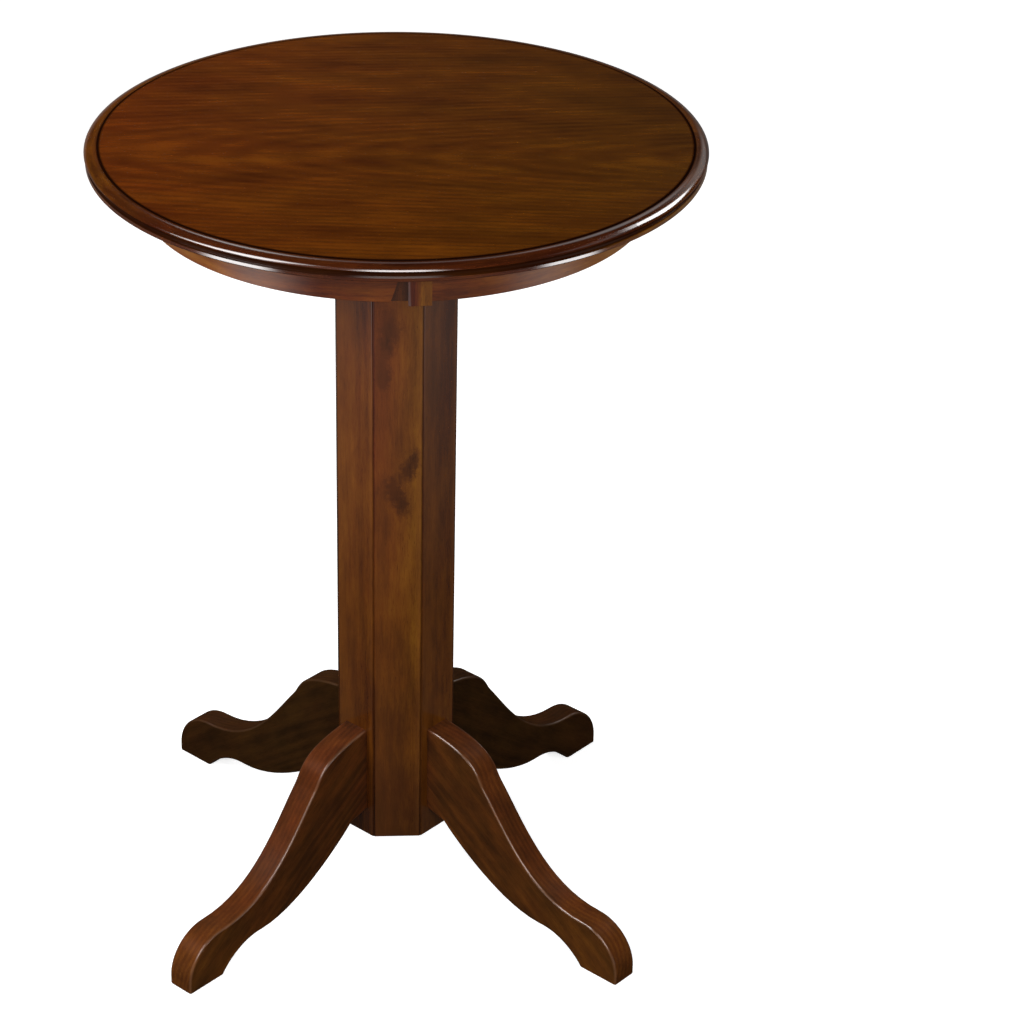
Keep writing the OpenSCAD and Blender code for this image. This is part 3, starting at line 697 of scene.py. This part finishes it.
def legOutline():
    root, knee, instep, heel, arch, lip = (
        Vector(leg[name]) for name in ("root", "knee", "instep", "heel", "arch", "lip"))
    out, fall = knee - root
    step = instep - knee
    slope = math.radians(leg["shinSlope"])
    shin = Vector((math.cos(slope), -math.sin(slope)))
    toe = Vector((leg["tip"], leg["instep"][1] - leg["toeRadius"]))
    quarter = leg["toeRadius"] * leg["toePull"]
    archEnd = arch - Vector((leg["archFlat"], 0))
    curves = [
        (root, root + Vector((leg["rootPull"][0] * out, leg["rootPull"][1] * fall)),
         knee + shin * leg["kneePull"] * fall, knee),
        (knee, knee + shin * leg["shinPull"] * step.length,
         instep - Vector((leg["instepPull"] * step.x, 0)), instep),
        (instep, instep + Vector((quarter, 0)), toe + Vector((0, quarter)), toe),
        (heel, heel + Vector(leg["heelPull"]), arch + Vector((leg["archPull"] * (heel.x - arch.x), 0)), arch),
        (archEnd, archEnd - Vector((leg["underPull"] * (arch.x - lip.x), 0)),
         lip + Vector(leg["lipPull"]), lip),
    ]
    points = []
    for number, curve in enumerate(curves):
        points += interpolate_bezier(*curve, leg["steps"] + 1)
        if number == 2:
            points.append(Vector((leg["tip"], 0)))
    points.append(Vector((leg["root"][0], leg["rootFoot"])))
    return points


def curvedLeg(name, angle):
    bm = bmesh.new()
    half = leg["thickness"] / 2
    for point in legOutline():
        bm.verts.new((point[0] * mm, -half * mm, point[1] * mm))
    bm.faces.new(bm.verts[:])
    bmesh.ops.remove_doubles(bm, verts=bm.verts[:], dist=weld * mm)
    liftOff(bm, bm.faces[:], (0, leg["thickness"], 0))
    bmesh.ops.recalc_face_normals(bm, faces=bm.faces[:])
    face = (leg["root"][0] + 0.01) * mm

    def isLong(e):
        flat = abs(e.verts[0].co.y - e.verts[1].co.y) < 1e-6
        atRoot = all(v.co.x < face for v in e.verts)
        atSole = all(v.co.z < 1e-6 for v in e.verts)
        return flat and not atRoot and not atSole

    def isSole(e):
        return all(v.co.z < 1e-6 for v in e.verts) and len(e.link_faces) == 2 and e.calc_face_angle() > 1
    easeEdges(bm, leg["rounding"], 4, isLong)
    easeEdges(bm, leg["soleRounding"], 2, isSole)
    seed, tone, warmth, polishAndShine = legBoards[name]
    grain = boardGrain(seed, middle=(200, 0, 120), along=(0.82, 0, -0.57), across=(0.57, 0, 0.82),
                       heart=(20, 80), lean=(0.02, 0.01))
    turn = turnRound(bm, angle)
    back, flatWay = turn.inverted(), turn @ Vector((0, 1, 0))

    def finishAt(vert):
        reach = (back @ vert.co).x
        if reach < face:
            return (tone + legStain["root"], warmth, 0)
        flat = vert.normal.dot(flatWay) ** 2
        toe = ramp(reach / mm, legStain["goldenLightFrom"], leg["tip"])
        sideShadeTone, sideWarmth = legStain["side"]
        goldenLightTone, goldenLightWarmth = legStain["goldenLight"]
        # painted highlight: a light line along each rounded long edge, strongest on the front legs
        paintedShine = max(0.0, 4 * flat * (1 - flat) - legStain["paintedShineFrom"]) * polishAndShine
        # painted shade darkens the sides a little, and painted light makes the toe lighter and golden
        return (tone + sideShadeTone * flat + goldenLightTone * toe * polishAndShine,
                warmth + (goldenLightWarmth - warmth) * toe + sideWarmth * flat, paintedShine)
    addPiece("curved_leg_" + name, bm, chestnutLegs, ["leg_" + name],
             lambda point: grain(back @ point), finishAt)


for number, name in enumerate(corners):
    curvedLeg(name, 90 * number + 45)
print("legs made")


# What joins the pieces inside stays as the frame has it, each in its own plain finish
def zincPlate(name):
    # bright zinc on rolled steel: small dull spangles and fine scratches
    material, tree = newMaterial(name)
    place = addNode(tree, "TexCoord", {}).outputs["Object"]
    spangle = addNode(tree, "TexVoronoi", {"Vector": place, "Scale": 1 / (1.8 * mm)}).outputs["Distance"]
    cloud = addNode(tree, "TexNoise", {"Vector": place, "Scale": 1 / (5 * mm), "Detail": 3.0})
    colour = addNode(tree, "ValToRGB", {"Fac": cloud},
                     stops=[(0.3, "#a7a397"), (0.6, "#c9c5b9"), (0.8, "#b8b6b4")])
    rough = addNode(tree, "MapRange", {"Value": spangle, "From Max": 0.8, "To Min": 0.26, "To Max": 0.42})
    bump = addNode(tree, "Bump", {"Height": spangle, "Strength": 0.2, "Distance": 0.04 * mm})
    shader = addNode(tree, "BsdfPrincipled", {
        "Base Color": colour, "Metallic": 1.0, "Roughness": rough, "Normal": bump})
    addNode(tree, "OutputMaterial", {"Surface": shader})
    return material


def fibreBoard(name):
    # pressed and sanded wood fibre, felted without any direction
    material, tree = newMaterial(name)
    place = addNode(tree, "TexCoord", {}).outputs["Object"]
    felt = addNode(tree, "TexNoise", {
        "Vector": place, "Scale": 1 / (0.9 * mm), "Detail": 4.0, "Roughness": 0.7})
    colour = addNode(tree, "ValToRGB", {"Fac": felt},
                     stops=[(0.3, "#7d6242"), (0.5, "#9a7c57"), (0.7, "#b59872")])
    bump = addNode(tree, "Bump", {"Height": felt, "Strength": 0.3, "Distance": 0.1 * mm})
    shader = addNode(tree, "BsdfPrincipled", {"Base Color": colour, "Roughness": 0.85, "Normal": bump})
    addNode(tree, "OutputMaterial", {"Surface": shader})
    return material


def stainedPlywood(name):
    # thirteen plies, light and dark by turns at the edges, under one coat of brown stain
    material, tree = newMaterial(name)
    plyPair = 2.77 * mm
    place = addNode(tree, "TexCoord", {}).outputs["Object"]
    depth = addNode(tree, "SeparateXYZ", {0: place}).outputs["Z"]
    ply = addNode(tree, "Math", {0: depth, 1: 2 * math.pi / plyPair}, operation="MULTIPLY")
    ply = addNode(tree, "Math", {0: ply}, operation="SINE")
    figure = addNode(tree, "VectorMath", {0: place, 1: (1 / 0.12, 1 / 0.006, 1 / 0.006)}, operation="MULTIPLY")
    figure = addNode(tree, "TexNoise", {"Vector": figure, "Scale": 1.0, "Detail": 4.0, "Roughness": 0.6})
    tone = addNode(tree, "Math", {0: ply, 1: 0.16, 2: figure}, operation="MULTIPLY_ADD")
    colour = addNode(tree, "ValToRGB", {"Fac": tone},
                     stops=[(0.25, "#3b1f0e"), (0.5, "#5d3518"), (0.75, "#7c4c25")])
    bump = addNode(tree, "Bump", {"Height": tone, "Strength": 0.3, "Distance": 0.1 * mm})
    shader = addNode(tree, "BsdfPrincipled", {"Base Color": colour, "Roughness": 0.6, "Normal": bump})
    addNode(tree, "OutputMaterial", {"Surface": shader})
    return material


uprightTimber = plainWood("planedTimberUpright", {
    **plainLook, "turned": (0, 90, 0), "heart": (5.0, 0.03, 0.09)})
levelTimber = plainWood("planedTimberLevel", {
    **plainLook, "turned": (0, 0, 0), "heart": (8.0, 0.05, 0.11)})
backVeneer = chestnutLacquer("chestnutBackVeneer", {
    **topLook, "turned": (0, 0, 90), "heart": (6.0, 0.07, 0.2), "coat": 0.3, "coatRough": 0.3})
plywood = stainedPlywood("stainedPlywood")
zinc = zincPlate("zincPlatedSteel")
shownFinishes = {
    "top_core": fibreBoard("fibreBoard"), "back_veneer": backVeneer, "mounting_plate": plywood,
    "apron_splice": levelTimber, "column_top_block": levelTimber, "base_ring": uprightTimber,
    "block_screws": zinc, "plate_screws": zinc, "lag_screws": zinc,
    "leg_bolts": zinc, "leg_washers": zinc, "leg_nuts": zinc,
    **{f"glue_block_{number}": levelTimber for number in range(1, 9)},
}
for name, finish in shownFinishes.items():
    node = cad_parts[name]
    if not node.material_slots:
        node.data.materials.append(finish)
    for place in node.material_slots:
        place.material = finish
print("inner pieces finished")


# Studio: a pale floor that the camera sees as white, softboxes for the light, and what lacquer mirrors
studio = {
    "floorSize": 30000, "floorDrop": 0.2, "floorSeen": "#f2f2f2", "floorFelt": "#6b6b6b", "ambient": 0.10,
    "glow": 0.72, "glowFrom": 1000, "glowTo": 4000,   # what the eye sees near the table and far from it
    "mirroredNear": 0.04, "mirroredFar": 0.20, "mirroredFrom": 800, "mirroredTo": 1700,
    "mirroredAir": 0.005, "horizonFrom": 0.06, "horizonTo": 0.22, "paneCore": 0.6, "paneEdge": 1.4,
    "aimHeight": 800,
}
softboxes = {   # azimuth and elevation in degrees, distance, width and height, watts
    "overheadBox": (135, 55, 1400, 900, 700, 9.6),
    "frontBox": (-85, 24, 2300, 1500, 500, 26),
    "leftBox": (-150, 30, 2300, 800, 500, 20),
    "lowLeftBox": (-128, 8, 2200, 700, 900, 12),
    "rightBox": (-30, 20, 2300, 700, 400, 10),
    "rearBox": (100, 14, 2400, 1600, 700, 14),
}
windows = {   # what the lacquer mirrors: azimuth, elevation, half width and half height in degrees, strength
    "leftWindow": (-166, 50, 22, 15.4, 17),
    "frontWindow": (-91, 44, 15, 20, 15),
    "frontHaze": (-118, 45, 26, 24, 0.4),
    "rightWindow": (42, 36, 12, 8, 18),
    "rightHaze": (8, 46, 26, 7, 0.5),
    "rearLeftPane": (96, 37, 2.5, 5, 2.8),
    "rearMiddlePane": (87, 39, 7, 4, 0.5),
    "rearRightPane": (78, 32, 4, 6, 1.0),
    "rightEndPane": (62, 22, 10, 9, 0.6),
    "topHaze": (80, 18.5, 14, 4, 0.018),
    "lowLeftStrip": (-149, 2, 12, 7, 16),
    "lowRightStrip": (-29, 2, 10, 7, 14),
}
floorPools = {   # bright places of the floor that the apron mirrors: x, y, reach and strength
    "leftPool": (-2150, -1150, 1250, 1.4),
    "rightPool": (2150, -1050, 1250, 0.95),
}


def eyeRays(tree, ray):
    # 1 for what the camera sees, straight or through something clear
    return addNode(tree, "Math", {
        0: ray.outputs["Is Camera Ray"], 1: ray.outputs["Is Transmission Ray"]}, operation="MAXIMUM")


def paleFloor():
    bm = bmesh.new()
    bmesh.ops.create_grid(bm, x_segments=1, y_segments=1, size=studio["floorSize"] / 2 * mm,
                          matrix=Matrix.Translation((0, 0, -studio["floorDrop"] * mm)))
    mesh = bpy.data.meshes.new("floor")
    bm.to_mesh(mesh)
    bm.free()
    floor = bpy.data.objects.new("floor", mesh)
    bpy.context.scene.collection.objects.link(floor)
    material, tree = newMaterial("paintedFloor")
    ray = addNode(tree, "LightPath", {})
    mirror = ray.outputs["Is Glossy Ray"]
    seen = eyeRays(tree, ray)
    colour = addNode(tree, "MixRGB", {
        "Fac": seen, "Color1": linear(studio["floorFelt"]), "Color2": linear(studio["floorSeen"])})
    colour = addNode(tree, "MixRGB", {"Fac": mirror, "Color1": colour, "Color2": (0, 0, 0, 1)})
    # the floor is lit for the eye, more so away from the table, and the lacquer mirrors that dimly
    place = addNode(tree, "TexCoord", {}).outputs["Object"]
    far = addNode(tree, "VectorMath", {0: place}, operation="LENGTH").outputs["Value"]
    lit = addNode(tree, "MapRange", {
        "Value": far, "From Min": studio["glowFrom"] * mm, "From Max": studio["glowTo"] * mm,
        "To Min": studio["glow"], "To Max": 1.0})
    mirrored = addNode(tree, "MapRange", {
        "Value": far, "From Min": studio["mirroredFrom"] * mm, "From Max": studio["mirroredTo"] * mm,
        "To Min": studio["mirroredNear"], "To Max": studio["mirroredFar"]})
    for x, y, reach, strength in floorPools.values():
        gap = addNode(tree, "VectorMath", {0: place, 1: (x * mm, y * mm, 0)}, operation="DISTANCE")
        pool = addNode(tree, "MapRange", {
            "Value": gap.outputs["Value"], "From Min": 0.0, "From Max": reach * mm,
            "To Min": strength, "To Max": 0.0}, interpolation_type="SMOOTHSTEP")
        mirrored = addNode(tree, "Math", {0: mirrored, 1: pool}, operation="ADD")
    mirrored = addNode(tree, "Math", {0: mirror, 1: mirrored}, operation="MULTIPLY")
    glow = addNode(tree, "Math", {0: seen, 1: lit, 2: mirrored}, operation="MULTIPLY_ADD")
    paint = addNode(tree, "BsdfPrincipled", {
        "Base Color": colour, "Roughness": 0.9, "Specular IOR Level": 0.0,
        "Emission Color": (1, 1, 1, 1), "Emission Strength": glow})
    clear = addNode(tree, "BsdfTransparent", {})
    under = addNode(tree, "NewGeometry", {}).outputs["Backfacing"]   # from below the floor is open
    surface = addNode(tree, "MixShader", {0: under, 1: paint, 2: clear})
    addNode(tree, "OutputMaterial", {"Surface": surface})
    mesh.materials.append(material)


def softbox(name, azimuth, elevation, distance, width, height, watts):
    data = bpy.data.lights.new(name, "AREA")
    data.shape, data.size, data.size_y, data.energy = "RECTANGLE", width * mm, height * mm, watts
    lamp = bpy.data.objects.new(name, data)
    lamp.visible_glossy = False   # what shows in the lacquer is set by the windows
    turn, lift = math.radians(azimuth), math.radians(elevation)
    way = Vector((math.cos(turn) * math.cos(lift), math.sin(turn) * math.cos(lift), math.sin(lift)))
    lamp.location = Vector((0, 0, studio["aimHeight"] * mm)) + way * distance * mm
    lamp.rotation_euler = way.to_track_quat("Z", "Y").to_euler()
    bpy.context.scene.collection.objects.link(lamp)


def mirroredWindow(tree, azimuth, elevation, window):
    turn, lift, halfWidth, halfHeight, strength = window
    across = addNode(tree, "Math", {0: azimuth, 1: -math.radians(turn)}, operation="ADD")
    across = addNode(tree, "Math", {0: across, 1: -math.pi, 2: math.pi}, operation="WRAP")
    pane = None
    for offset, centre, half in ((across, 0, halfWidth), (elevation, lift, halfHeight)):
        offset = addNode(tree, "Math", {0: offset, 1: math.radians(centre)}, operation="SUBTRACT")
        offset = addNode(tree, "Math", {0: offset}, operation="ABSOLUTE")
        side = addNode(tree, "MapRange", {
            "Value": offset, "From Min": math.radians(half * studio["paneCore"]),
            "From Max": math.radians(half * studio["paneEdge"]), "To Min": 1.0, "To Max": 0.0},
            interpolation_type="SMOOTHSTEP")
        pane = addNode(tree, "Math", {0: pane, 1: side}, operation="MULTIPLY") if pane else side
    return addNode(tree, "Math", {0: pane, 1: strength}, operation="MULTIPLY")


def studioAir():
    world = bpy.data.worlds.new("studio")
    bpy.context.scene.world = world
    world.use_nodes = True
    tree = world.node_tree
    tree.nodes.clear()
    ray = addNode(tree, "LightPath", {})
    way = addNode(tree, "SeparateXYZ", {0: addNode(tree, "TexCoord", {}).outputs["Generated"]})
    azimuth = addNode(tree, "Math", {0: way.outputs["Y"], 1: way.outputs["X"]}, operation="ARCTAN2")
    elevation = addNode(tree, "Math", {0: way.outputs["Z"]}, operation="ARCSINE")
    mirrored = addNode(tree, "MapRange", {
        "Value": elevation, "From Min": studio["horizonFrom"], "From Max": studio["horizonTo"],
        "To Min": studio["mirroredFar"], "To Max": studio["mirroredAir"]})
    for window in windows.values():
        pane = mirroredWindow(tree, azimuth, elevation, window)
        mirrored = addNode(tree, "Math", {0: mirrored, 1: pane}, operation="ADD")
    dim = addNode(tree, "MapRange", {
        "Value": ray.outputs["Is Glossy Ray"], "To Min": studio["ambient"], "To Max": mirrored})
    strength = addNode(tree, "MapRange", {"Value": eyeRays(tree, ray), "To Min": dim, "To Max": 1.0})
    air = addNode(tree, "Background", {"Color": (1, 1, 1, 1), "Strength": strength})
    addNode(tree, "OutputWorld", {"Surface": air})


paleFloor()
for name, settings in softboxes.items():
    softbox(name, *settings)
studioAir()
bpy.context.scene.view_settings.view_transform = "Standard"
print("studio lit")
